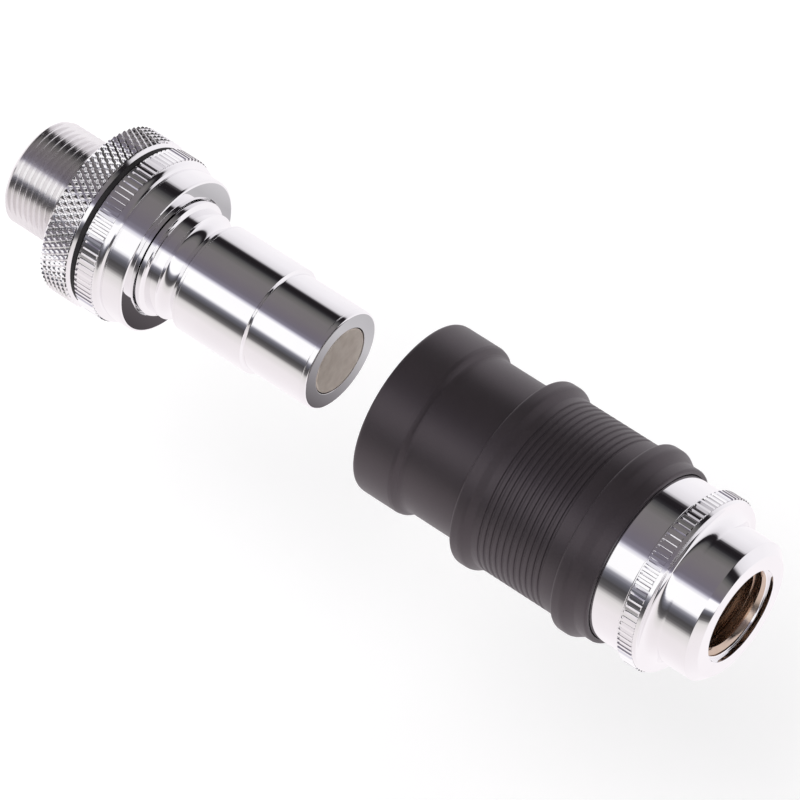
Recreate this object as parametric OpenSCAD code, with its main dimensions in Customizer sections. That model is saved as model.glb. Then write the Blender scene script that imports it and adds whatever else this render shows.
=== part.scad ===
// Quick coupling for a liquid cooling loop: a panel-mounted plug half and a push-to-connect socket half.
// Both halves share one flow axis, which is X. X = 0 is the flange face that seats against a panel.
// The halves are drawn apart, with the socket's mouth facing the plug's nose.

/* [Ports] */
// Radius of both pipe ports at the thread crests
port_r = 5.72; // [5.66:0.02:5.78]
// Length of the threaded tube behind the panel seat
tube_l = 16.85; // [15.25:0.1:18.45]

/* [Panel mounting] */
// Crest radius of the panel thread
panel_thread_r = 8.0; // [7.5:0.05:8.6]
// Pitch of the panel thread
panel_pitch = 1.0; // [0.75:0.25:1.5]
// Thickness of the flat gasket between the nut and the flange
gasket_t = 0.7; // [0.5:0.05:1.0]
// Radial thickness of the nut, from thread crest to knurl
nut_wall = 5.0; // [4.0:0.1:6.0]
// Length of the nut
nut_l = 5.2; // [4.6:0.1:6.0]
// Number of knurl diamonds round the nut
knurl_count = 75; // [60:1:84]
// Depth of the knurl
knurl_depth = 0.38; // [0.3:0.02:0.42]

/* [Flange] */
// Radial width of the flange's flat face outside the nose
flange_land = 2.65; // [2.2:0.05:3.1]
// Height of the fluted ring over the plain part of the flange
flange_flute_h = 0.95; // [0.8:0.05:1.2]
// Length of the whole flange
flange_l = 7.72; // [7.02:0.1:8.42]
// Number of flutes round the flange and round the end adapter
flute_count = 84; // [60:4:92]
// Depth of the flutes
flute_depth = 0.4; // [0.3:0.05:0.45]

/* [Plug nose] */
// Radius of the poppet's head
head_r = 4.97; // [4.57:0.05:5.37]
// Width of the cone that the poppet's head closes on
seat_w = 1.13; // [1.0:0.05:1.3]
// Wall of the nose's sealing end
tip_wall = 1.45; // [1.3:0.05:1.6]
// Height of the step from the sealing end up to the nose
nose_step = 0.58; // [0.5:0.02:0.7]
// Length of the nose in front of the flange
nose_l = 28.88; // [26.08:0.1:31.68]
// Length of the nose's sealing end
tip_l = 10.87; // [9.87:0.1:11.87]
// Distance from the flange face to the middle of the locking groove
groove_gap = 4.58; // [4.28:0.05:4.98]

/* [Socket] */
// Gap between the nose face and the sleeve's rim, with the halves apart
halves_gap = 12.64; // [8.64:1:20.64]
// Wall of the ball cage
cage_wall = 1.8; // [1.65:0.05:1.95]
// Radius of a locking ball
ball_r = 1.25; // [1.15:0.01:1.35]
// Depth of the closed valve behind the sleeve's rim
valve_depth = 13.3; // [12.0:0.1:14.5]
// Length of the sliding valve sleeve
valve_sleeve_l = 15.4; // [14.0:0.1:16.8]
// Wall of the adapter's neck round the hose port
neck_wall = 3.49; // [3.2:0.05:3.8]
// Height of the adapter's fluted ring
adapter_flute_h = 0.7; // [0.6:0.05:0.9]

/* [Locking sleeve] */
// Wall of the collar at the sleeve's mouth
collar_wall = 1.79; // [1.5:0.05:2.1]
// Length of the collar
collar_l = 7.8; // [7.1:0.1:8.6]
// Wall of the sleeve's smooth barrel
barrel_wall = 0.85; // [0.75:0.05:1.2]
// Distance from the rim to the front ridge
front_ridge_s = 17.3; // [15.7:0.1:18.9]
// Wall of the grooved grip where it runs over the adapter
grip_wall = 0.57; // [0.5:0.05:0.9]
// Height of the front ridge over the grip
front_ridge_h = 0.93; // [0.7:0.05:1.2]
// Height of the rear ridge over the grip
rear_ridge_h = 1.11; // [0.8:0.05:1.4]
// Distance between the grooves round the grip
grip_pitch = 1.0; // [0.8:0.1:2.0]

/* [Hidden] */
// facets round a turned part, an O-ring section and a small ball
round_fn = 96;
cord_fn = 32;
// fits: a running fit, a seat between fixed pieces and a face-to-face gap
run = 0.07;
seat = 0.05;
face_gap = 0.02;
// every O-ring groove in a turned part is this wide, to either side of its middle
half_groove = 0.5;
// cutters stand this far proud of what they cut
over = 1;

// nose and poppet, from the head outward
mouth_gap = 0.15;
mouth_r = head_r + mouth_gap;
bore_r = head_r + seat_w;
tip_r = bore_r + tip_wall;
nose_r = tip_r + nose_step;
land_r = nose_r - 0.03;
lip_r = nose_r + 0.7;
lip_l = 1.75;
tail_r = bore_r + 1.5;

// plug body
flute_start = 0.3;
tube_end = -tube_l;
port_mouth_r = port_r + 0.98;
port_mouth_l = 1.05;
tube_edge = min(0.6, (panel_thread_r - port_mouth_r) / 2);
port_floor = -5.5;
// the panel thread is drawn as level rings, each a groove between two narrow crests
thread_depth = 0.55 * panel_pitch;
thread_start = tube_end + tube_edge + 0.1;
thread_rings = floor((-flute_start - thread_start) / panel_pitch);
thread_form = [[0, 0], [0.34, 1], [0.52, 1], [0.86, 0]];
washer_bore_r = port_r + 0.48;
tail_start = 0.6;
lip_recess_l = 0.6;
lip_recess_r = lip_r + 0.27;
lip_x = flange_l - lip_recess_l;
flange_r = lip_recess_r + flange_land;
flange_flute_r = flange_r + flange_flute_h;
flange_flute_l = 2.9;
flute_end = flute_start + flange_flute_l;
flute_bite = 0.05;
core_r = flange_flute_r - flute_depth - 0.1;
rim_r = flange_flute_r - 0.35;

// stations along the nose
groove_x = flange_l + groove_gap;
nose_x = flange_l + nose_l;
step_x = nose_x - tip_l;
groove_cut_r = ball_r + 0.38;
groove_centre_r = nose_r + 0.48;
nose_seal_x = lip_x - 1.02;
nose_seal_cord = 0.4;
nose_seal_root = tail_r - 0.8;

// poppet in the nose
seat_l = 2.8;
seat_cone_x = nose_x - seat_l;
seat_cone_l = bore_r - mouth_r;
head_l = 2.7;
head_back = nose_x - head_l;
skirt_r = bore_r - 0.1;
skirt_inner_r = skirt_r - 1;
poppet_l = 11.7;
skirt_end = nose_x - poppet_l;
cup_t = 2;
cup_floor = head_back - cup_t;
window_w = 4;
window_l = 5;
window_gap = 1.5;
window_x = skirt_end + window_gap;
poppet_seal_x = nose_x - 1.5;
poppet_seal_root = head_r - 0.87;
poppet_seal_cord = 0.46;
poppet_wire_r = 0.4;
poppet_coil_r = bore_r - 0.7;
poppet_turns = 8;
washer_t = 0.8;
washer_x = port_floor + face_gap;
washer_inner_r = poppet_coil_r - 1;

// nut and gasket, stacked against the flange from the right
gasket_right = -face_gap;
gasket_left = gasket_right - gasket_t;
nut_right = gasket_left - face_gap;
nut_left = nut_right - nut_l;
nut_bore_r = panel_thread_r + seat;
nut_r = panel_thread_r + nut_wall;
nut_edge = 0.4;
nut_rim_r = nut_r - 0.35;
knurl_rows = 5;
knurl_band = nut_l - 0.95;

// the socket's own station 0 is the sleeve's rim, which stops this far from the flange when locked
socket_x = nose_x + halves_gap;
mated_gap = 0.48;
nose_room = 0.42;

// ball cage and its balls
cage_front = 0.8;
cage_bore_r = nose_r + run;
cage_inner_r = tip_r + run;
cage_r = cage_bore_r + cage_wall;
cage_mouth = min(0.6, cage_wall / 3);
cage_step = nose_l - tip_l - mated_gap + nose_room;
ball_s = groove_gap - mated_gap;
ball_centre_r = tip_r + seat + ball_r;
ball_hole_r = ball_r + seat;
ball_count = 6;
body_seal_s = cage_step + 1.3;
body_seal_cord = 0.46;
body_seal_root = cage_inner_r + 0.93;
body_seal_w = 1.3;
tail_tube_r = cage_r - 0.6;

// stop ring on the cage's front
ring_s = 1.3;
ring_w = 0.6;
ring_root = cage_r - 0.4;
ring_r = cage_r + 0.6;
ring_slot = 2;

// valve in the socket: a fixed stem, a sliding sleeve and its spring
stem_r = head_r;
stem_tip_l = 8;
rod_r = 2.2;
rod_cone_l = 1.5;
valve_r = tip_r;
valve_land_r = stem_r + 0.06;
valve_inner_r = bore_r + 0.1;
valve_land_l = 8.2;
stroke_room = 0.25;
spider_s = nose_l - mated_gap + valve_sleeve_l + stroke_room;
spider_l = 2.15;
spider_r = tail_tube_r - 0.8;
hub_r = 3.0;
arm_w = 1.6;
arm_count = 3;
stem_seal_s = valve_depth + stem_tip_l - 0.8;
stem_seal_cord = 0.44;
stem_seal_root = stem_r - 0.87;
valve_wire_r = 0.35;
valve_coil_r = bore_r - 0.5;
valve_turns = 7;
spider_inner_r = valve_coil_r - 0.6;

// sleeve and adapter bores, from the cage outward
cone_slope = 0.232;
cone_ball_r = ball_centre_r + ball_r + 0.055;
rim_cone_r = cone_ball_r + cone_slope * ball_s;
sleeve_land_r = cage_r + 0.085;
land_s = ball_s + (cone_ball_r - sleeve_land_r) / cone_slope;
shoulder_s = ball_s + 3.9;
chamber_r = cage_r + 1.05;
skirt_bore_r = chamber_r + 1.45;
lock_wire_r = 0.35;
lock_coil_r = (cage_r + chamber_r) / 2 + 0.04;
lock_turns = 8;

// end adapter
adapter_s = spider_s - 6.55;
adapter_r = skirt_bore_r - 0.1;
adapter_ring_s = spider_s + 0.2;
adapter_flute_r = adapter_r + adapter_flute_h;
adapter_flute_start = adapter_ring_s + 0.35;
adapter_flute_l = 2.3;
adapter_flute_end = adapter_flute_start + adapter_flute_l;
adapter_core_r = adapter_flute_r - flute_depth - 0.1;
adapter_rim_r = adapter_flute_r - 0.15;
adapter_face = adapter_ring_s + 3.2;
adapter_end = adapter_ring_s + 10.55;
counterbore_r = port_r + 1.22;
counterbore_l = 0.75;
neck_r = counterbore_r + neck_wall;
port_face_r = neck_r - 1.39;
cove_r = 1.7;
cove_bite = 0.03;
cove_block = 1.5;
port_chamber_r = port_r + 1.28;
adapter_port_s = spider_s + 2.75;
adapter_port_end = adapter_end - 1.8;
adapter_seal_s = adapter_s + 4;
adapter_seal_cord = 0.42;
adapter_seal_root = tail_tube_r - 0.9;

// locking sleeve
counter_s = adapter_s - 3;
sleeve_l = adapter_s + 2.05;
collar_r = rim_cone_r + collar_wall;
barrel_r = chamber_r + barrel_wall;
grip_r = skirt_bore_r + grip_wall;
front_ridge_r = grip_r + front_ridge_h;
rear_ridge_r = grip_r + rear_ridge_h;
rear_ridge_s = sleeve_l - 5.25;
grip_start = front_ridge_s + 4.3;
grip_end = rear_ridge_s - 2.2;
grip_grooves = floor((grip_end - grip_start) / grip_pitch) + 1;
grip_groove_w = 0.5;
grip_groove_d = 0.2;

// ---- helpers ----

// Lays a shape drawn along Z on the flow axis, with its foot at a station
module on_axis(at = 0) {
  translate([at, 0, 0])
    rotate([0, 90, 0])
      children();
}

// A turned piece: points are radius and station
module turned(points, at = 0) {
  on_axis(at)
    rotate_extrude($fn = round_fn)
      polygon(points);
}

// A round-section seal ring
module o_ring(centre_r, cord, at) {
  on_axis(at)
    rotate_extrude($fn = round_fn)
      translate([centre_r, 0])
        circle(r = cord, $fn = cord_fn);
}

// A ring with straight flutes round its rim, open inside
module fluted_ring(outer_r, inner_r, from, wide) {
  pitch = 360 / flute_count;
  root_r = outer_r - flute_depth;
  corners = [[-0.36, root_r], [-0.2, outer_r], [0.2, outer_r], [0.36, root_r]];
  on_axis(from)
    difference() {
      linear_extrude(height = wide)
        polygon([for (i = [0 : flute_count - 1], c = corners)
          [c[1] * cos((i + c[0]) * pitch), c[1] * sin((i + c[0]) * pitch)]]);
      translate([0, 0, -over])
        cylinder(r = inner_r, h = wide + 2 * over, $fn = round_fn);
    }
}

// A coil spring with one closed turn at each end, from one seat to the other
module coil_spring(coil_r, wire_r, turns, from, to, steps = 12) {
  sides = 6;
  last = turns * steps;
  // a closed turn rises by a little more than the wire is thick
  closed = 2.1 * wire_r;
  open_l = to - from - 2 * wire_r - 2 * face_gap;
  pitch = (open_l - 2 * closed) / (turns - 2);
  rise = [for (k = [0 : last])
    let (t = k / steps)
    wire_r + (t < 1 ? t * closed
      : t > turns - 1 ? open_l - (turns - t) * closed
      : closed + (t - 1) * pitch)];
  points = [for (k = [0 : last], j = [0 : sides - 1])
    let (a = 360 * k / steps, b = 360 * j / sides, r = coil_r + wire_r * cos(b))
    [r * cos(a), r * sin(a), rise[k] + wire_r * sin(b)]];
  skin = [for (k = [0 : last - 1], j = [0 : sides - 1])
    let (m = (j + 1) % sides, p = k * sides, q = p + sides)
    each [[p + j, p + m, q + m], [p + j, q + m, q + j]]];
  first_cap = [for (j = [sides - 1 : -1 : 0]) j];
  last_cap = [for (j = [0 : sides - 1]) last * sides + j];
  on_axis(from + face_gap)
    polyhedron(points = points, faces = concat(skin, [first_cap, last_cap]), convexity = 10);
}

// The nut's blank: two bevelled rims with a band of knurl diamonds between them
module knurled_blank() {
  columns = 2 * knurl_count;
  foot = (nut_l - knurl_band) / 2;
  rings = concat(
    [[0, nut_rim_r - nut_edge, 0], [nut_edge, nut_rim_r, 0]],
    [for (j = [0 : knurl_rows]) [foot + j * knurl_band / knurl_rows, nut_r, 1 + j % 2]],
    [[nut_l - nut_edge, nut_rim_r, 0], [nut_l, nut_rim_r - nut_edge, 0]]);
  last = len(rings) - 1;
  points = [for (g = rings, i = [0 : columns - 1])
    let (a = 360 * i / columns, low = g[2] > 0 && (i + g[2]) % 2 == 0)
    [(g[1] - (low ? knurl_depth : 0)) * cos(a), (g[1] - (low ? knurl_depth : 0)) * sin(a), g[0]]];
  skin = [for (k = [0 : last - 1], i = [0 : columns - 1])
    let (m = (i + 1) % columns, p = k * columns, q = p + columns, low = (i + rings[k][2]) % 2 == 0)
    each (low
      ? [[p + i, q + i, q + m], [p + i, q + m, p + m]]
      : [[p + i, q + i, p + m], [q + i, q + m, p + m]])];
  bottom = [for (i = [0 : columns - 1]) i];
  top = [for (i = [columns - 1 : -1 : 0]) last * columns + i];
  polyhedron(points = points, faces = concat(skin, [bottom, top]), convexity = 4);
}

// ---- plug half ----

module plug_body() color("silver") {
  turned(concat([
    [port_mouth_r, tube_end], [panel_thread_r - tube_edge, tube_end],
    [panel_thread_r, tube_end + tube_edge]],
    [for (i = [0 : thread_rings - 1], c = thread_form)
      [panel_thread_r - c[1] * thread_depth, thread_start + (i + c[0]) * panel_pitch]],
    [[panel_thread_r, 0], [rim_r - 0.15, 0], [rim_r, 0.15], [rim_r, flute_start + flute_bite],
    [core_r, flute_start + flute_bite], [core_r, flute_end - flute_bite],
    [rim_r + 0.15, flute_end - flute_bite], [rim_r + 0.15, flute_end + 0.3],
    [rim_r + 0.08, flute_end + 0.57], [rim_r - 0.08, flute_end + 0.8], [rim_r - 0.27, flute_end + 0.95],
    [flange_r + 0.24, flute_end + 1.03], [flange_r - 0.08, flute_end + 1.09],
    [flange_r - 0.08, flute_end + 1.2], [flange_r, flute_end + 1.26],
    [flange_r, flange_l - 0.3], [flange_r - 0.09, flange_l - 0.09], [flange_r - 0.3, flange_l],
    [lip_recess_r, flange_l], [lip_recess_r, lip_x],
    [tail_r + seat, lip_x], [tail_r + seat, tail_start], [washer_bore_r, tail_start],
    [washer_bore_r, port_floor], [port_r, port_floor],
    [port_r, tube_end + port_mouth_l]
  ]));
  fluted_ring(flange_flute_r, core_r - 0.3, flute_start, flange_flute_l);
}

module plug_nose() color("gainsboro") {
  on_axis()
    rotate_extrude($fn = round_fn)
      difference() {
        polygon([
          [bore_r, tail_start + face_gap], [tail_r - 0.25, tail_start + face_gap],
          [tail_r, tail_start + 0.27],
          [tail_r, nose_seal_x - half_groove], [nose_seal_root, nose_seal_x - half_groove],
          [nose_seal_root, nose_seal_x + half_groove], [tail_r, nose_seal_x + half_groove],
          [tail_r, lip_x + face_gap], [lip_r, lip_x + face_gap],
          [lip_r, lip_x + lip_l - 0.42], [lip_r - 0.06, lip_x + lip_l - 0.33],
          [lip_r - 0.28, lip_x + lip_l - 0.25], [land_r, lip_x + lip_l],
          [land_r, groove_x - 0.5], [nose_r, groove_x - 0.5],
          [nose_r, groove_x + 1.8], [nose_r - 0.1, groove_x + 1.9], [nose_r, groove_x + 2],
          [nose_r, step_x], [tip_r + 0.43, step_x + 0.06], [tip_r + 0.12, step_x + 0.18],
          [tip_r, step_x + 0.3],
          [tip_r, nose_x - 0.85], [tip_r - 0.1, nose_x - 0.78], [tip_r - 0.02, nose_x - 0.7],
          [tip_r - 0.05, nose_x - 0.4], [tip_r - 0.15, nose_x - 0.12], [tip_r - 0.31, nose_x],
          [mouth_r, nose_x], [mouth_r, seat_cone_x], [bore_r, seat_cone_x - seat_cone_l]
        ]);
        translate([groove_centre_r, groove_x])
          circle(r = groove_cut_r, $fn = 48);
      }
}

module nose_seal() color("dimgray")
  o_ring(nose_seal_root + face_gap + nose_seal_cord, nose_seal_cord, nose_seal_x);

module panel_gasket() color("black")
  turned([
    [nut_bore_r, gasket_left], [rim_r - 0.05, gasket_left], [rim_r, gasket_left + 0.1],
    [rim_r, gasket_right - 0.1], [rim_r - 0.05, gasket_right], [nut_bore_r, gasket_right]
  ]);

module lock_nut() color("silver")
  on_axis(nut_left)
    difference() {
      knurled_blank();
      translate([0, 0, -over])
        cylinder(r = nut_bore_r, h = nut_l + 2 * over, $fn = round_fn);
      translate([0, 0, -0.1])
        cylinder(r1 = nut_bore_r + 0.8, r2 = nut_bore_r - 0.1, h = 0.9, $fn = round_fn);
    }

module spring_seat() color("darkgray")
  turned([
    [washer_inner_r, washer_x], [washer_bore_r - seat, washer_x],
    [washer_bore_r - seat, washer_x + washer_t], [washer_inner_r, washer_x + washer_t]
  ]);

module poppet() color("tan")
  difference() {
    turned([
      [0, cup_floor], [skirt_inner_r, cup_floor], [skirt_inner_r, skirt_end], [skirt_r, skirt_end],
      [skirt_r, head_back - skirt_r + head_r], [head_r, head_back],
      [head_r, poppet_seal_x - half_groove], [poppet_seal_root, poppet_seal_x - half_groove],
      [poppet_seal_root, poppet_seal_x + half_groove], [head_r, poppet_seal_x + half_groove],
      [head_r, nose_x - 0.12], [head_r - 0.12, nose_x], [0, nose_x]
    ]);
    for (turn = [0, 90])
      rotate([turn, 0, 0])
        translate([window_x, -window_w / 2, -skirt_r - over])
          cube([window_l, window_w, 2 * (skirt_r + over)]);
  }

module poppet_seal() color("dimgray")
  o_ring(poppet_seal_root + face_gap + poppet_seal_cord, poppet_seal_cord, poppet_seal_x);

module poppet_spring() color("lightgray")
  coil_spring(poppet_coil_r, poppet_wire_r, poppet_turns, washer_x + washer_t, skirt_end);

// ---- socket half ----

module lock_sleeve() color("#222222")
  turned(concat(
    [
      [rim_cone_r, 0], [collar_r - 0.4, 0], [collar_r - 0.15, 0.12], [collar_r - 0.03, 0.4], [collar_r, 0.8],
      [collar_r, collar_l - 1.7], [collar_r - 0.12, collar_l - 1.25], [collar_r - 0.42, collar_l - 0.9],
      [barrel_r + 0.25, collar_l - 0.65], [barrel_r + 0.06, collar_l - 0.35], [barrel_r, collar_l],
      [barrel_r, front_ridge_s - 0.4], [barrel_r + 0.07, front_ridge_s - 0.2],
      [barrel_r + 0.25, front_ridge_s - 0.08],
      [front_ridge_r - 0.25, front_ridge_s], [front_ridge_r - 0.07, front_ridge_s + 0.12],
      [front_ridge_r, front_ridge_s + 0.35], [front_ridge_r, front_ridge_s + 1.6],
      [front_ridge_r - 0.12, front_ridge_s + 1.95],
      [grip_r + 0.12, front_ridge_s + 2.85], [grip_r, front_ridge_s + 3.1]
    ],
    [for (i = [0 : grip_grooves - 1], c = [[-0.5, 0], [-0.3, 1], [0.3, 1], [0.5, 0]])
      [grip_r - c[1] * grip_groove_d, grip_start + i * grip_pitch + c[0] * grip_groove_w]],
    [
      [grip_r, rear_ridge_s - 0.1], [rear_ridge_r - 0.25, rear_ridge_s],
      [rear_ridge_r - 0.07, rear_ridge_s + 0.12], [rear_ridge_r, rear_ridge_s + 0.35],
      [rear_ridge_r, rear_ridge_s + 1.6], [rear_ridge_r - 0.12, rear_ridge_s + 1.95],
      [grip_r + 0.25, rear_ridge_s + 3.1], [grip_r + 0.13, rear_ridge_s + 3.4],
      [grip_r + 0.13, sleeve_l - 0.3], [grip_r + 0.04, sleeve_l - 0.08], [grip_r - 0.15, sleeve_l],
      [skirt_bore_r, sleeve_l], [skirt_bore_r, counter_s], [chamber_r, counter_s],
      [chamber_r, shoulder_s], [sleeve_land_r, shoulder_s], [sleeve_land_r, land_s]
    ]), socket_x);

module socket_body() color("lightslategray")
  difference() {
    turned([
      [cage_bore_r + cage_mouth, cage_front], [cage_r - 0.3, cage_front], [cage_r, ring_s - 0.2],
      [cage_r, ring_s - face_gap], [ring_root, ring_s - face_gap],
      [ring_root, ring_s + ring_w + face_gap], [cage_r, ring_s + ring_w + face_gap],
      [cage_r, adapter_s - face_gap], [tail_tube_r, adapter_s - face_gap],
      [tail_tube_r, adapter_seal_s - half_groove], [adapter_seal_root, adapter_seal_s - half_groove],
      [adapter_seal_root, adapter_seal_s + half_groove], [tail_tube_r, adapter_seal_s + half_groove],
      [tail_tube_r, spider_s - face_gap], [cage_inner_r, spider_s - face_gap],
      [cage_inner_r, body_seal_s + body_seal_w / 2], [body_seal_root, body_seal_s + body_seal_w / 2],
      [body_seal_root, body_seal_s - body_seal_w / 2], [cage_inner_r, body_seal_s - body_seal_w / 2],
      [cage_inner_r, cage_step], [cage_bore_r, cage_step], [cage_bore_r, cage_front + cage_mouth]
    ], socket_x);
    for (i = [0 : ball_count - 1])
      translate([socket_x + ball_s, 0, 0])
        rotate([i * 360 / ball_count, 0, 0])
          translate([0, 0, cage_bore_r - over])
            cylinder(r = ball_hole_r, h = cage_wall + 2 * over, $fn = 32);
  }

module stop_ring() color("gray")
  difference() {
    turned([
      [ring_root + face_gap, ring_s], [ring_r, ring_s],
      [ring_r, ring_s + ring_w], [ring_root + face_gap, ring_s + ring_w]
    ], socket_x);
    translate([socket_x + ring_s - over, -ring_slot / 2, 0])
      rotate([30, 0, 0])
        cube([ring_w + 2 * over, ring_slot, ring_r + over]);
  }

module body_seal() color("dimgray")
  o_ring(cage_inner_r - face_gap + body_seal_cord, body_seal_cord, socket_x + body_seal_s);

// One locking ball, numbered from 0 and spaced evenly round the cage
module ball(number) color("white")
  rotate([number * 360 / ball_count, 0, 0])
    translate([socket_x + ball_s, 0, ball_centre_r])
      sphere(r = ball_r, $fn = 24);

module lock_spring() color("lightgray")
  coil_spring(lock_coil_r, lock_wire_r, lock_turns, socket_x + shoulder_s, socket_x + adapter_s, steps = 20);

module end_adapter() color("silver") {
  on_axis(socket_x)
    rotate_extrude($fn = round_fn)
      difference() {
        polygon([
          [tail_tube_r + seat, adapter_s], [adapter_r - 0.3, adapter_s], [adapter_r, adapter_s + 0.3],
          [adapter_r, adapter_ring_s], [adapter_rim_r - 0.15, adapter_ring_s],
          [adapter_rim_r, adapter_ring_s + 0.15], [adapter_rim_r, adapter_flute_start + flute_bite],
          [adapter_core_r, adapter_flute_start + flute_bite],
          [adapter_core_r, adapter_flute_end - flute_bite],
          [adapter_rim_r, adapter_flute_end - flute_bite],
          [adapter_rim_r - 0.15, adapter_face], [neck_r + cove_block, adapter_face],
          [neck_r + cove_block, adapter_face + cove_block], [neck_r, adapter_face + cove_block],
          [neck_r, adapter_end - 1.25], [port_face_r + 0.12, adapter_end - 0.05], [port_face_r, adapter_end],
          [counterbore_r, adapter_end], [counterbore_r, adapter_end - counterbore_l],
          [counterbore_r - 0.37, adapter_end - counterbore_l],
          [port_r, adapter_port_end], [port_r, adapter_port_s], [port_chamber_r, adapter_port_s],
          [port_chamber_r, spider_s + spider_l + face_gap], [spider_r + 0.1, spider_s + spider_l + face_gap],
          [spider_r + 0.1, spider_s], [tail_tube_r + seat, spider_s]
        ]);
        translate([neck_r + cove_r - cove_bite, adapter_face + cove_r - cove_bite])
          circle(r = cove_r, $fn = 64);
      }
  fluted_ring(adapter_flute_r, adapter_core_r - 0.3, socket_x + adapter_flute_start, adapter_flute_l);
}

module adapter_seal() color("dimgray")
  o_ring(adapter_seal_root + face_gap + adapter_seal_cord, adapter_seal_cord, socket_x + adapter_seal_s);

module valve_stem() color("tan") {
  turned([
    [0, valve_depth], [stem_r - 0.12, valve_depth], [stem_r, valve_depth + 0.12],
    [stem_r, stem_seal_s - half_groove], [stem_seal_root, stem_seal_s - half_groove],
    [stem_seal_root, stem_seal_s + half_groove], [stem_r, stem_seal_s + half_groove],
    [stem_r, valve_depth + stem_tip_l], [rod_r, valve_depth + stem_tip_l + rod_cone_l],
    [rod_r, spider_s + 0.5], [hub_r, spider_s + 0.5],
    [hub_r, spider_s + spider_l], [0, spider_s + spider_l]
  ], socket_x);
  turned([
    [spider_inner_r, spider_s + face_gap], [spider_r, spider_s + face_gap],
    [spider_r, spider_s + spider_l], [spider_inner_r, spider_s + spider_l]
  ], socket_x);
  for (i = [0 : arm_count - 1])
    rotate([i * 360 / arm_count, 0, 0])
      translate([socket_x + spider_s + 0.6, -arm_w / 2, 1])
        cube([spider_l - 0.7, arm_w, spider_inner_r]);
}

module stem_seal() color("dimgray")
  o_ring(stem_seal_root + face_gap + stem_seal_cord, stem_seal_cord, socket_x + stem_seal_s);

module valve_sleeve() color("slategray")
  turned([
    [valve_land_r, valve_depth], [valve_r - 0.3, valve_depth], [valve_r, valve_depth + 0.3],
    [valve_r, valve_depth + valve_sleeve_l], [valve_inner_r, valve_depth + valve_sleeve_l],
    [valve_inner_r, valve_depth + valve_land_l], [valve_land_r, valve_depth + valve_land_l]
  ], socket_x);

module valve_spring() color("lightgray")
  coil_spring(valve_coil_r, valve_wire_r, valve_turns,
    socket_x + valve_depth + valve_land_l, socket_x + spider_s);

// ---- one line for each node ----

plug_body();
plug_nose();
nose_seal();
panel_gasket();
lock_nut();
spring_seat();
poppet();
poppet_seal();
poppet_spring();
lock_sleeve();
socket_body();
stop_ring();
body_seal();
ball(0);  // ball_1
ball(1);  // ball_2
ball(2);  // ball_3
ball(3);  // ball_4
ball(4);  // ball_5
ball(5);  // ball_6
lock_spring();
end_adapter();
adapter_seal();
valve_stem();
stem_seal();
valve_sleeve();
valve_spring();
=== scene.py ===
import bmesh
import bpy
import math
import numpy as np
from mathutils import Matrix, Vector


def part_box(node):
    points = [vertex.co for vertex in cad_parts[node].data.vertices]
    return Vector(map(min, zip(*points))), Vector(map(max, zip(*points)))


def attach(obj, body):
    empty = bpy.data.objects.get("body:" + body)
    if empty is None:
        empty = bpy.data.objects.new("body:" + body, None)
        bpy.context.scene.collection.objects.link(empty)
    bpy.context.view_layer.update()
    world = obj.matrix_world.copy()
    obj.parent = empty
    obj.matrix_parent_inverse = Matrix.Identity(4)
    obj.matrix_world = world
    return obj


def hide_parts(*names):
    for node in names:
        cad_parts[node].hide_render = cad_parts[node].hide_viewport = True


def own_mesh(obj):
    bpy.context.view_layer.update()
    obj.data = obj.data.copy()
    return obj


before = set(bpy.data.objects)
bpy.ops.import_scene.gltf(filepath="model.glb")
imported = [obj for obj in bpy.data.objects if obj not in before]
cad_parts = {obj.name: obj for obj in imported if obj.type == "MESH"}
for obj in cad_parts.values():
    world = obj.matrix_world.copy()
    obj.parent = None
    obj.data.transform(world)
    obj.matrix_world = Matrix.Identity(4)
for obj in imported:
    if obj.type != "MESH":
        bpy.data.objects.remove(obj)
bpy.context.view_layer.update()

MM = 0.001
SX = 49.24       # the sleeve's rim, in millimetres along the axis
PORT_R = 5.72    # crest radius of both pipe threads
TUBE_X = -16.85  # free end of the panel thread
G_PITCH = 1.337
WELD = 1e4       # points in one cell of this many to the millimetre are one vertex
WELD_SHIFT = 0.3173  # keeps round values away from the walls of the cells
TAU = 2 * math.pi


# ---- profiles ----

def fillet(points, rad=0.05, seg=3):
    """Rounds every corner of a closed (x, r) profile by a small amount."""
    out = []
    for i, b in enumerate(points):
        a, c = Vector(points[i - 1]), Vector(points[(i + 1) % len(points)])
        b = Vector(b)
        ba, bc = a - b, c - b
        if ba.length < 1e-6 or bc.length < 1e-6:
            continue
        if math.pi - ba.angle(bc) < math.radians(14):
            out.append(tuple(b))
            continue
        t = min(rad, 0.35 * ba.length, 0.35 * bc.length)
        p, q = b + ba.normalized() * t, b + bc.normalized() * t
        for k in range(seg + 1):
            s = k / seg
            out.append(tuple(p * (1 - s) ** 2 + b * 2 * s * (1 - s) + q * s * s))
    return out


def supported(points, closed=True, reach=0.09):
    """Adds points close to both ends of each long run, so that shading stays inside the corners."""
    out = []
    last = len(points) if closed else len(points) - 1
    for i in range(len(points)):
        a = Vector(points[i])
        out.append(tuple(a))
        if i < last:
            b = Vector(points[(i + 1) % len(points)])
            d = b - a
            if d.length > 5 * reach:
                step = d.normalized() * reach
                out += [tuple(a + step), tuple(b - step)]
    return out


def arc(cx, cr, rad, a0, a1, n):
    """Points on a circle in the profile plane, angles in degrees from +x towards +r."""
    return [(cx + rad * math.cos(math.radians(a0 + (a1 - a0) * k / n)),
             cr + rad * math.sin(math.radians(a0 + (a1 - a0) * k / n))) for k in range(n + 1)]


def at(x0, pairs):
    """(radius, station) pairs as (x, r) points."""
    return [(x0 + s, r) for r, s in pairs]


# ---- rings: each is an array of (x, r) by column ----

def even(n):
    return [TAU * j / n for j in range(n)]


def toothed(count, corners):
    return [TAU * (i + c) / count for i in range(count) for c in corners]


def flat_rings(points, n, tag=0):
    return [(np.tile(np.array(p, float), (n + 1, 1)), tag) for p in points]


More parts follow.
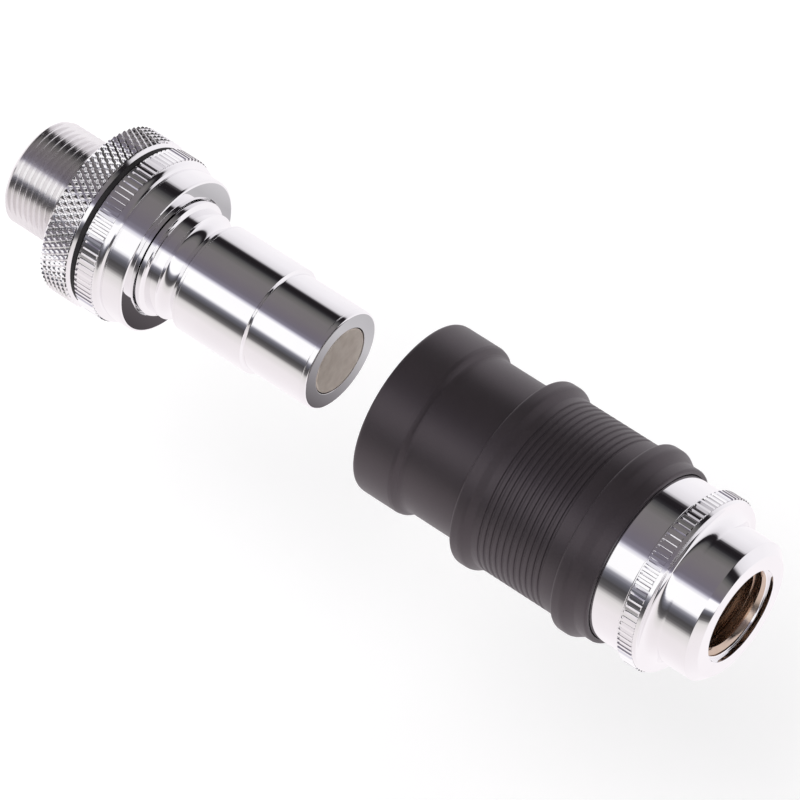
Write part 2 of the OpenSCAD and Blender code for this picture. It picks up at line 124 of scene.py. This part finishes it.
def thread_rings(angles, x0, x1, pitch, form, limit, tag):
    """Rows that follow a right-hand helix from x0 to x1; form is (phase, r) over one pitch."""
    turn = np.array([a / TAU for a in angles] + [angles[0] / TAU + 1])
    ph = [f[0] for f in form] + [1.0]
    rr = [f[1] for f in form] + [form[0][1]]
    rings = []
    m = len(form)
    total = int(math.ceil(((x1 - x0) / pitch + 2) * m))
    for k in range(total + 1):
        along = k // m + form[k % m][0]
        x = np.clip(x0 + (along + turn - 2) * pitch, x0, x1)
        phase = np.mod((x - x0) / pitch - turn, 1.0)
        free = (x > x0) & (x < x1)
        r = np.where(free, form[k % m][1], np.interp(phase, ph, rr))
        rings.append((np.stack([x, limit(x, r)], 1), tag))
    return rings


def build(name, rings, angles, mats, body, nodes, sharp=38):
    """A closed turned piece from its rings, welded where rows meet."""
    n = len(angles)
    a = np.array(list(angles) + [angles[0]])
    ca, sa = np.cos(a), np.sin(a)
    verts, index, ids = [], {}, []
    for xr, _ in rings:
        p = np.stack([xr[:, 0], xr[:, 1] * ca, xr[:, 1] * sa], 1)
        keys = np.floor(p * WELD + WELD_SHIFT).astype(np.int64)
        row = []
        for q, k in zip(p, map(tuple, keys)):
            if k not in index:
                index[k] = len(verts)
                verts.append(q * MM)
            row.append(index[k])
        ids.append(row)
    faces, tags = [], []
    for k in range(len(rings)):
        lo, hi = ids[k], ids[(k + 1) % len(rings)]
        for j in range(n):
            f = [lo[j], lo[j + 1], hi[j + 1], hi[j]]
            f = [v for i, v in enumerate(f) if v != f[i - 1]]
            if len(set(f)) == len(f) > 2:
                faces.append(f)
                tags.append(rings[k][1])
    return piece(name, verts, faces, mats, body, nodes, sharp, tags)


def piece(name, verts, faces, mats, body, nodes, sharp=38, tags=None):
    """A smooth-shaded mesh that rides on a body in place of its CAD nodes."""
    mesh = bpy.data.meshes.new(name)
    mesh.from_pydata([tuple(v) for v in verts], [], faces)
    mesh.validate()
    for m in mats:
        mesh.materials.append(m)
    if tags is not None and len(tags) == len(mesh.polygons):
        mesh.polygons.foreach_set("material_index", tags)
    mesh.polygons.foreach_set("use_smooth", [True] * len(mesh.polygons))
    mesh.set_sharp_from_angle(angle=math.radians(sharp))
    mesh.update()
    obj = bpy.data.objects.new(name, mesh)
    bpy.context.scene.collection.objects.link(obj)
    # turn every face outward
    bm = bmesh.new()
    bm.from_mesh(mesh)
    bmesh.ops.recalc_face_normals(bm, faces=bm.faces)
    bm.to_mesh(mesh)
    bm.free()
    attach(obj, body)
    if nodes:
        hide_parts(*nodes)
    return obj


def lathe(name, points, mat, body, nodes, n, rad, sharp=38):
    """A plain turned piece from its closed profile."""
    rings = flat_rings(supported(fillet(points, rad)), n)
    return build(name, rings, even(n), [mat], body, nodes, sharp)


def coil(name, coil_r, wire_r, turns, x0, x1, body, node):
    """A compression spring of steel wire with one closed turn at each end."""
    per, sides = 36, 10
    gap = 0.02
    closed = 2.1 * wire_r      # the rise of a closed turn
    open_l = (x1 - x0) - 2 * wire_r - 2 * gap
    pitch = (open_l - 2 * closed) / (turns - 2)
    verts, faces = [], []
    last = turns * per
    for k in range(last + 1):
        t = k / per
        if t < 1:
            rise = t * closed
        elif t > turns - 1:
            rise = open_l - (turns - t) * closed
        else:
            rise = closed + (t - 1) * pitch
        x = x0 + gap + wire_r + rise
        a = TAU * t
        for j in range(sides):
            b = TAU * j / sides
            r = coil_r + wire_r * math.cos(b)
            verts.append(((x + wire_r * math.sin(b)) * MM,
                          r * math.cos(a) * MM, r * math.sin(a) * MM))
    for k in range(last):
        for j in range(sides):
            m = (j + 1) % sides
            faces.append((k * sides + j, k * sides + m,
                          (k + 1) * sides + m, (k + 1) * sides + j))
    faces.append(tuple(range(sides - 1, -1, -1)))
    faces.append(tuple(last * sides + j for j in range(sides)))
    obj = piece(name, verts, faces, [steel], body, [node], 50)
    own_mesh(obj)
    return obj


# ---- materials ----

def srgb(h):
    c = [int(h[i:i + 2], 16) / 255 for i in (0, 2, 4)]
    return [x / 12.92 if x <= 0.04045 else ((x + 0.055) / 1.055) ** 2.4 for x in c]


def add_node(tree, kind, inputs=None, **props):
    """A shader node with its inputs linked or set."""
    node = tree.nodes.new("ShaderNode" + kind)
    for k, v in props.items():
        setattr(node, k, v)
    for k, v in (inputs or {}).items():
        if isinstance(v, bpy.types.NodeSocket):
            tree.links.new(v, node.inputs[k])
        else:
            node.inputs[k].default_value = v
    return node


def calc(tree, operation, *values):
    return add_node(tree, "Math", dict(enumerate(values)), operation=operation).outputs[0]


def ramp(tree, fac, stops):
    """A colour ramp from (position, colour) stops."""
    node = add_node(tree, "ValToRGB", {"Fac": fac})
    e = node.color_ramp.elements
    while len(e) < len(stops):
        e.new(0.5)
    for i, (position, colour) in enumerate(stops):
        e[i].position = position
        e[i].color = (*colour, 1)
    return node.outputs["Color"]


class Nodes:
    """Short calls for a material's node tree."""

    def __init__(self, name):
        self.mat = bpy.data.materials.new(name)
        self.mat.use_nodes = True
        self.tree = self.mat.node_tree
        self.bsdf = self.tree.nodes["Principled BSDF"]
        coord = self.tree.nodes.new("ShaderNodeTexCoord")
        self.object = coord.outputs["Object"]

    def new(self, kind, inputs=None, **props):
        return add_node(self.tree, kind, inputs, **props)

    def noise(self, vector, scale, detail=2.0, rough=0.5):
        return self.new("TexNoise", {"Vector": vector, "Scale": scale, "Detail": detail,
                                     "Roughness": rough}).outputs["Fac"]

    def stretched(self, scale):
        return self.new("Mapping", {"Vector": self.object, "Scale": scale}).outputs["Vector"]

    def ramp(self, fac, stops):
        return ramp(self.tree, fac, stops)

    def times(self, a, b):
        return calc(self.tree, "MULTIPLY", a, b)

    def span(self, value, low, high, from_low=0.0, from_high=1.0):
        return self.new("MapRange", {"Value": value, "From Min": from_low, "From Max": from_high,
                                     "To Min": low, "To Max": high}).outputs["Result"]

    def around(self):
        """Station and distance from the axis, so that marks run with the turning."""
        xyz = self.new("SeparateXYZ", {"Vector": self.object})
        y, z = xyz.outputs["Y"], xyz.outputs["Z"]
        r = calc(self.tree, "SQRT", calc(self.tree, "ADD", self.times(y, y), self.times(z, z)))
        return self.new("CombineXYZ", {"X": xyz.outputs["X"], "Y": r}).outputs["Vector"]

    def bump(self, height, strength, distance, normal=None):
        inputs = {"Height": height, "Strength": strength, "Distance": distance}
        if normal is not None:
            inputs["Normal"] = normal
        return self.new("Bump", inputs).outputs["Normal"]

    def set(self, **inputs):
        for k, v in inputs.items():
            name = k.replace("_", " ")
            if isinstance(v, bpy.types.NodeSocket):
                self.tree.links.new(v, self.bsdf.inputs[name])
            else:
                self.bsdf.inputs[name].default_value = v


def metal(name, low, high, rough, turning=0.05, ripple=0.0, grain=0.0):
    """Plated or bare metal: turning lines, a faint cloudiness and fine scratches along the axis."""
    m = Nodes(name)
    turned = m.around()
    lines = m.noise(turned, 9000, 3, 0.6)
    cloud = m.noise(m.object, 160, 3)
    scratch = m.noise(m.stretched((300, 5200, 5200)), 1.0, 2)
    m.set(Base_Color=m.ramp(cloud, [(0.3, low), (0.7, high)]), Metallic=1.0)
    m.set(Roughness=m.span(m.times(cloud, scratch), rough[0], rough[1], 0.1, 0.42))
    normal = m.bump(lines, turning, 0.000004)
    if ripple:
        normal = m.bump(m.noise(m.object, 120, 1), ripple, 0.00004, normal)
    if grain:
        normal = m.bump(m.noise(m.object, 14000, 2), grain, 0.00001, normal)
    m.set(Normal=normal)
    return m.mat


chrome = metal("chrome", (0.91, 0.905, 0.915), (0.94, 0.935, 0.945), (0.012, 0.035), 0.02, 0.02)
satin_thread = metal("satin_thread", (0.80, 0.785, 0.79), (0.90, 0.885, 0.89), (0.10, 0.22), 0.2)
port_metal = metal("port_thread", (0.52, 0.39, 0.30), (0.70, 0.57, 0.48), (0.12, 0.22), 0.1)
inner_metal = metal("inner_metal", (0.36, 0.34, 0.33), (0.46, 0.44, 0.43), (0.25, 0.4), 0.2, 0.0, 0.1)
steel = metal("spring_steel", (0.50, 0.50, 0.52), (0.66, 0.66, 0.68), (0.18, 0.32), 0.1)
ball_steel = metal("ball_steel", (0.70, 0.70, 0.72), (0.80, 0.80, 0.82), (0.05, 0.1), 0.01)


def poppet_finish():
    """Satin beige face with faint turning rings."""
    m = Nodes("poppet_satin")
    turned = m.around()
    cloud = m.noise(m.object, 700, 4)
    rings = m.noise(turned, 6500, 2, 0.6)
    m.set(Base_Color=m.ramp(cloud, [(0.3, srgb("cfc2b6")), (0.7, srgb("e0d5ca"))]), Metallic=0.35)
    m.set(Roughness=m.span(rings, 0.38, 0.52))
    m.set(Normal=m.bump(rings, 0.25, 0.000006, m.bump(m.noise(m.object, 9000, 2), 0.1, 0.00001)))
    return m.mat


def sleeve_finish():
    """Black anodised aluminium over a fine bead blast."""
    m = Nodes("black_anodised")
    blast = m.noise(m.object, 5200, 3, 0.6)
    fine = m.noise(m.object, 13000, 2)
    cloud = m.noise(m.object, 90, 3)
    dark, light = (0.0110, 0.0090, 0.0100), (0.0200, 0.0170, 0.0185)
    m.set(Base_Color=m.ramp(m.times(blast, cloud), [(0.1, dark), (0.45, light)]))
    m.set(Roughness=m.span(blast, 0.36, 0.50), Specular_IOR_Level=0.95,
          Specular_Tint=(1.0, 0.86, 0.95, 1))
    m.set(Normal=m.bump(fine, 0.4, 0.00002, m.bump(blast, 0.4, 0.00004)))
    return m.mat


def rubber(name, low, high):
    """Matt black rubber with a faint bloom."""
    m = Nodes(name)
    grain = m.noise(m.object, 7000, 3, 0.6)
    bloom = m.noise(m.object, 400, 3)
    m.set(Base_Color=m.ramp(bloom, [(0.3, low), (0.75, high)]))
    m.set(Roughness=m.span(grain, 0.55, 0.75), Specular_IOR_Level=0.35)
    m.set(Normal=m.bump(grain, 0.3, 0.00002))
    return m.mat


poppet_mat = poppet_finish()
black = sleeve_finish()
seal_mat = rubber("seal_rubber", (0.008, 0.008, 0.009), (0.018, 0.018, 0.019))
gasket_mat = rubber("gasket_rubber", (0.010, 0.009, 0.010), (0.022, 0.020, 0.021))

# ---- plug body: panel thread, fluted flange, port thread ----

TEETH = 84                            # the same on the flange and on the adapter
CORNERS = (-0.36, -0.2, 0.2, 0.36)    # root, tip, tip, root, as shares of one tooth
ring_angles = toothed(TEETH, CORNERS)
N = len(ring_angles)


def flutes(x0, x1, tip, root):
    """Straight teeth along the axis, with a small bevel at both ends."""
    def ring(x, top):
        r = np.array([root, top, top, root] * TEETH + [root])
        return (np.stack([np.full(N + 1, x), r], 1), 0)
    bevel = 0.07
    return [ring(x0, tip - bevel), ring(x0 + bevel, tip),
            ring(x1 - bevel, tip), ring(x1, tip - bevel)]


def pipe_form(major):
    """One pitch of a port's thread as (phase, r)."""
    mid = PORT_R + (major - PORT_R) * 0.5
    return [(0.0, PORT_R), (0.16, PORT_R), (0.30, mid), (0.44, major), (0.60, major), (0.80, mid)]


panel_form = [(0.0, 8.0), (0.14, 8.0), (0.31, 7.72), (0.48, 7.45), (0.64, 7.45), (0.82, 7.72)]
rings = flat_rings(supported([(-15.8, PORT_R), (TUBE_X, 6.7), (TUBE_X, 7.4)], False), N, 2)
rings += thread_rings(ring_angles, TUBE_X, -0.45, 1.0, panel_form,
                      lambda x, r: np.minimum(r, 7.42 + (x - TUBE_X)), 1)
rings += flat_rings([(-0.4, 7.6), (-0.001, 7.6), (0, 7.65)], N, 0)
rings += flat_rings(supported([(0, 12.2), (0.15, 12.35), (0.3, 12.35)], False), N, 0)
rings += flutes(0.3, 3.2, 12.7, 12.3)
flange = fillet([(3.2, 12.3), (3.2, 12.5), (3.5, 12.5), (3.77, 12.43), (4.0, 12.27), (4.15, 12.08),
                 (4.23, 11.99), (4.29, 11.67), (4.4, 11.67), (4.46, 11.75), (7.42, 11.75),
                 (7.63, 11.66), (7.72, 11.45), (7.72, 9.1), (7.12, 9.1), (7.12, 7.65), (0.6, 7.65),
                 (0.6, 6.2), (-5.5, 6.2), (-5.5, PORT_R)])
rings += flat_rings(supported(flange[4:-4], False), N, 0)
rings += flat_rings([(-5.5, 6.18), (-5.5, PORT_R)], N, 2)
port = thread_rings(ring_angles, -15.8, -5.55, G_PITCH, pipe_form(6.45), lambda x, r: r, 2)
rings += port[::-1]
build("plug_body_turned", rings, ring_angles, [chrome, satin_thread, port_metal], "plug",
      ["plug_body"], 32)

# ---- plug nose ----

nose = [(0.62, 6.1), (0.62, 7.35), (0.87, 7.6), (5.6, 7.6), (5.6, 6.8), (6.6, 6.8), (6.6, 7.6),
        (7.14, 7.6), (7.14, 8.83), (8.45, 8.83), (8.54, 8.77), (8.62, 8.55), (8.87, 8.1)]
nose += arc(12.3, 8.61, 1.63, 198.2, 342.9, 20)      # the groove that the balls drop into
nose += [(14.1, 8.13), (14.2, 8.05), (14.3, 8.13), (25.73, 8.13), (25.79, 7.98), (25.91, 7.67),
         (26.03, 7.55), (35.75, 7.55), (35.82, 7.47), (35.9, 7.53), (36.2, 7.5), (36.48, 7.4),
         (36.6, 7.24), (36.6, 5.12), (33.8, 5.12), (32.82, 6.1)]
lathe("plug_nose_turned", nose, chrome, "plug", ["plug_nose"], 256, 0.04)

# ---- knurled nut ----

KN, ROWS, SUB = 75, 5, 4      # diamonds round the nut, along it, and steps in half a diamond
NUT_L, NUT_R, DEPTH = 5.2, 13.0, 0.38
RIM_R, EDGE_R, HOLE_R = 12.65, 12.25, 8.05
cols = 2 * KN * SUB
nut_x0 = float(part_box("lock_nut")[0][0]) / MM
nut_x1 = nut_x0 + NUT_L
band = NUT_L - 0.95           # the knurled width between two plain rims
foot = (NUT_L - band) / 2


def knurl_row(w):
    """Radii round the nut at share w of the band: flat-topped diamonds."""
    i = np.arange(cols + 1) / SUB
    j = w * ROWS
    a, b = np.mod(i + j, 2), np.mod(i - j, 2)
    h = np.minimum(np.abs(a - 1), np.abs(b - 1))
    return NUT_R - DEPTH * (1 - np.minimum(1, 1.4 * h))


nut_rings = flat_rings(supported([(nut_x0, 8.85), (nut_x0, EDGE_R), (nut_x0 + 0.4, RIM_R),
                                  (nut_x0 + foot - 0.02, RIM_R)], False, 0.06), cols, 0)
for k in range(ROWS * SUB + 1):
    w = k / (ROWS * SUB)
    nut_rings.append((np.stack([np.full(cols + 1, nut_x0 + foot + w * band), knurl_row(w)], 1), 0))
nut_rings += flat_rings(supported([(nut_x0 + NUT_L - foot + 0.02, RIM_R), (nut_x0 + NUT_L - 0.4, RIM_R),
                                   (nut_x1, EDGE_R), (nut_x1, HOLE_R)], False, 0.06), cols, 0)
nut_rings += flat_rings([(nut_x0 + 0.9, HOLE_R)], cols, 0)
build("lock_nut_knurled", nut_rings, even(cols), [chrome], "nut", ["lock_nut"], 24)

# ---- locking sleeve ----

# (radius, station from the rim)
sleeve = [(10.085, 4.40), (11.106, 0), (12.5, 0), (12.75, 0.12), (12.87, 0.4), (12.9, 0.8), (12.9, 6.1),
          (12.78, 6.55), (12.48, 6.9), (12.15, 7.15), (11.96, 7.45), (11.9, 7.8), (11.9, 16.9),
          (11.97, 17.1), (12.15, 17.22), (13.68, 17.3), (13.89, 17.42), (13.98, 17.6), (14.0, 17.8),
          (14.0, 18.75), (13.97, 19.0), (13.88, 19.25), (13.19, 20.15), (13.09, 20.32), (13.07, 20.5)]
GRIP_R, CUT_R = 13.07, 12.87
for g in range(11):
    sleeve += [(GRIP_R, 21.35 + g), (CUT_R, 21.45 + g), (CUT_R, 21.75 + g), (GRIP_R, 21.85 + g)]
sleeve += [(GRIP_R, 34.0), (13.12, 34.18), (13.86, 34.28), (14.07, 34.4), (14.16, 34.58), (14.18, 34.8),
           (14.18, 35.75), (14.15, 36.0), (14.06, 36.25), (13.32, 37.4), (13.22, 37.6), (13.2, 37.8),
           (13.2, 39.25), (13.11, 39.47), (12.92, 39.55), (12.5, 39.55), (12.5, 34.5), (11.05, 34.5),
           (11.05, 8.0), (10.085, 8.0)]
lathe("lock_sleeve_turned", at(SX, sleeve), black, "grip", ["lock_sleeve"],
      256, 0.05, 50)

# ---- end adapter: fluted ring, cove, neck, port thread ----

skirt = fillet(at(SX, [(9.45, 44.05), (9.45, 37.5), (12.1, 37.5), (12.4, 37.8), (12.4, 44.25),
                       (12.8, 44.25), (12.95, 44.4), (12.95, 44.6), (12.7, 44.6)]))
rings = flat_rings(supported(skirt[4:-4], False), N, 0)
rings += flutes(SX + 44.6, SX + 46.9, 13.1, 12.7)
cove = arc(49.12, 12.10, 1.7, 169.2, 280.8, 16)
outer = [(46.9, 12.7), (46.9, 12.95), (47.45, 12.8)] + cove
outer += [(53.55, 10.43), (54.75, 9.16), (54.8, 9.04), (54.8, 6.94), (54.05, 6.94), (54.05, 6.57),
          (53.0, PORT_R)]
outer = fillet([(SX + x, r) for x, r in outer])
rings += flat_rings(supported(outer[4:-4], False), N, 0)
port = thread_rings(ring_angles, SX + 46.85, SX + 53.95, G_PITCH, pipe_form(6.50),
                    lambda x, r: np.maximum(r, PORT_R + (x - SX - 53.1) * 0.9), 1)
rings += port[::-1]
seat = at(SX, [(5.75, 46.8), (7.0, 46.8), (7.0, 46.22), (8.7, 46.22), (8.7, 44.05), (9.45, 44.05)])
rings += flat_rings(supported(seat, False), N, 1)
build("end_adapter_turned", rings, ring_angles, [chrome, port_metal], "socket", ["end_adapter"],
      32)

# ---- springs ----

coil("poppet_spring_wound", 5.4, 0.4, 8, -4.68, 24.9, "plug", "poppet_spring")
coil("lock_spring_wound", 10.565, 0.35, 8, SX + 8.0, SX + 37.5, "socket", "lock_spring")
coil("valve_spring_wound", 5.6, 0.35, 7, SX + 21.5, SX + 44.05, "socket", "valve_spring")

# ---- the CAD's own solids: better finishes and cleaner shading ----

FINISH = {"poppet": poppet_mat, "valve_stem": poppet_mat, "valve_sleeve": inner_metal,
          "socket_body": inner_metal, "stop_ring": steel, "spring_seat": steel,
          "panel_gasket": gasket_mat, "nose_seal": seal_mat, "poppet_seal": seal_mat,
          "body_seal": seal_mat, "adapter_seal": seal_mat, "stem_seal": seal_mat}
FINISH.update({"ball_%d" % k: ball_steel for k in range(1, 7)})
for name, mat in FINISH.items():
    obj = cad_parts[name]
    obj.data.materials.clear()
    obj.data.materials.append(mat)
    obj.data.polygons.foreach_set("use_smooth", [True] * len(obj.data.polygons))
    obj.data.set_sharp_from_angle(angle=math.radians(35))
    weighted = obj.modifiers.new("even_shading", "WEIGHTED_NORMAL")
    weighted.keep_sharp = True

# ---- camera ----

TO_CAMERA = Vector((0.397, -0.485, 0.779)).normalized()
DISTANCE = 0.8
RIGHT, UP = Vector((0.774, 0.634, 0)), Vector((-0.494, 0.603, 0.627))
# a point on the axis, then a small step to the right and down in the image
AIM = Vector((0.0467, 0, 0)) + RIGHT * 0.00019 - UP * 0.00024
scene = bpy.context.scene
cam = bpy.data.objects.new("camera", bpy.data.cameras.new("camera"))
scene.collection.objects.link(cam)
cam.data.lens = 270
cam.data.sensor_width = 36
cam.data.clip_start, cam.data.clip_end = 0.05, 50
cam.location = AIM + TO_CAMERA * DISTANCE
cam.rotation_euler = (-TO_CAMERA).to_track_quat("-Z", "Y").to_euler()
scene.camera = cam

# ---- studio ----

scene.view_settings.view_transform = "Standard"

CHROME = 0.92    # the share of light the plating gives back
SEAM = 122       # the bands start this many degrees below the front
# what polished metal reflects: (degrees round the axis from the front, how it should look)
BANDS = [(-122, "f7f2f5"), (-92, "f7f2f5"), (-60, "f0eaed"), (-30, "ebe5e7"), (-14, "dcd8d7"),
         (-10, "c8c5c4"), (-5, "757273"), (0, "575556"), (6, "4a484a"), (14, "62626a"), (19, "8c8b94"),
         (22.5, "e0dfe4"), (25, "fffeff"), (51, "fffeff"), (55, "d0ceda"), (58.5, "84808e"),
         (66, "706b76"), (75, "716b73"), (90, "757073"), (106, "757172"), (115, "666463"),
         (121, "504f50"), (126, "2c2a2d"), (131, "201d20"), (138, "221f22"), (141, "4a474a"),
         (144, "b8b5b9"), (148, "dcd9dd"), (156, "e6e3e7"), (168, "efecf0"), (200, "f6f3f6"),
         (238, "f7f2f5")]


def reflected(h):
    return [c / CHROME for c in srgb(h)]


def plate(name, corners):
    """A flat four-sided plate with a material of its own."""
    mesh = bpy.data.meshes.new(name)
    mesh.from_pydata(corners, [], [(0, 1, 2, 3)])
    obj = bpy.data.objects.new(name, mesh)
    scene.collection.objects.link(obj)
    mat = bpy.data.materials.new(name)
    mat.use_nodes = True
    mesh.materials.append(mat)
    return obj, mat.node_tree


world = bpy.data.worlds.new("studio")
scene.world = world
world.use_nodes = True
wt = world.node_tree
wt.nodes.clear()
coord = add_node(wt, "TexCoord")
xyz = add_node(wt, "SeparateXYZ", {"Vector": coord.outputs["Generated"]})
front = calc(wt, "MULTIPLY", xyz.outputs["Y"], -1.0)
angle = calc(wt, "ARCTAN2", xyz.outputs["Z"], front)
turn = calc(wt, "ADD", calc(wt, "MULTIPLY", angle, 1 / TAU), SEAM / 360)
side = ramp(wt, calc(wt, "FRACT", turn), [((a + SEAM) / 360, reflected(h)) for a, h in BANDS])
level = add_node(wt, "LightPath")
glossy = add_node(wt, "Background", {"Color": side, "Strength": 1.0})
plain = add_node(wt, "Background", {"Color": (0.985, 0.98, 0.985, 1), "Strength": 0.82})
white = add_node(wt, "Background", {"Color": (1, 1, 1, 1), "Strength": 1.0})
mix = add_node(wt, "MixShader", {0: level.outputs["Is Glossy Ray"], 1: plain.outputs[0],
                                 2: glossy.outputs[0]})
seen = calc(wt, "MAXIMUM", level.outputs["Is Camera Ray"], level.outputs["Is Transmission Ray"])
mix = add_node(wt, "MixShader", {0: seen, 1: mix.outputs[0], 2: white.outputs[0]})
add_node(wt, "OutputWorld", {"Surface": mix.outputs[0]})

# a large soft lamp from the upper left front
lamp = bpy.data.objects.new("soft_lamp", bpy.data.lights.new("soft_lamp", "AREA"))
lamp.data.shape = "DISK"
lamp.data.size = 1.2
lamp.data.energy = 5.0
lamp.location = (-0.25, -0.55, 1.15)
lamp.rotation_euler = (Vector((0.04, 0, 0)) - lamp.location).to_track_quat("-Z", "Y").to_euler()
lamp.visible_glossy = False
scene.collection.objects.link(lamp)

# the floor: the camera sees it as white paper, and the object's own shadow stays on it
REACH, FLOOR_Z = 2.2, -0.055
floor, ft = plate("floor", [(-REACH, -REACH, FLOOR_Z), (REACH, -REACH, FLOOR_Z),
                            (REACH, REACH, FLOOR_Z), (-REACH, REACH, FLOOR_Z)])
paper = ft.nodes["Principled BSDF"]
paper.inputs["Base Color"].default_value = (0.97, 0.968, 0.97, 1)
paper.inputs["Roughness"].default_value = 0.9
paper.inputs["Specular IOR Level"].default_value = 0.0
paper.inputs["Emission Color"].default_value = (1, 1, 1, 1)
lift = calc(ft, "MULTIPLY", add_node(ft, "LightPath").outputs["Is Camera Ray"], 0.11)
ft.links.new(lift, paper.inputs["Emission Strength"])
floor.visible_glossy = False

# a graded grey card that only reflections see: it shades the plug's polished end faces
DOWN = Vector((0.397, 0.485, -0.779)).normalized()
ACROSS = Vector((0, 0.849, 0.529)).normalized()
ALONG = DOWN.cross(ACROSS).normalized()
CARD = Vector((0.0225, 0, 0)) + DOWN * 0.058
card, ct = plate("card", [tuple(CARD + ALONG * a * 0.034 + ACROSS * b * 0.016)
                          for a, b in ((-1, -1), (1, -1), (1, 1), (-1, 1))])
ct.nodes.clear()
place = add_node(ct, "TexCoord").outputs["Object"]
across = add_node(ct, "VectorMath", {0: place, 1: ACROSS}, operation="DOT_PRODUCT").outputs["Value"]
share = add_node(ct, "MapRange", {"Value": across, "From Min": -0.014, "From Max": 0.014})
GREYS = [(0.0, "3f3a3d"), (0.2, "5b5659"), (0.42, "9a979a"), (0.62, "c2c0c3"), (0.85, "b5b3b6"),
         (1.0, "d5d3d6")]
grey = ramp(ct, share.outputs["Result"], [(p, reflected(h)) for p, h in GREYS])
glow = add_node(ct, "Emission", {"Color": grey})
add_node(ct, "OutputMaterial", {"Surface": glow.outputs[0]})
card.visible_camera = card.visible_diffuse = card.visible_shadow = card.visible_transmission = False
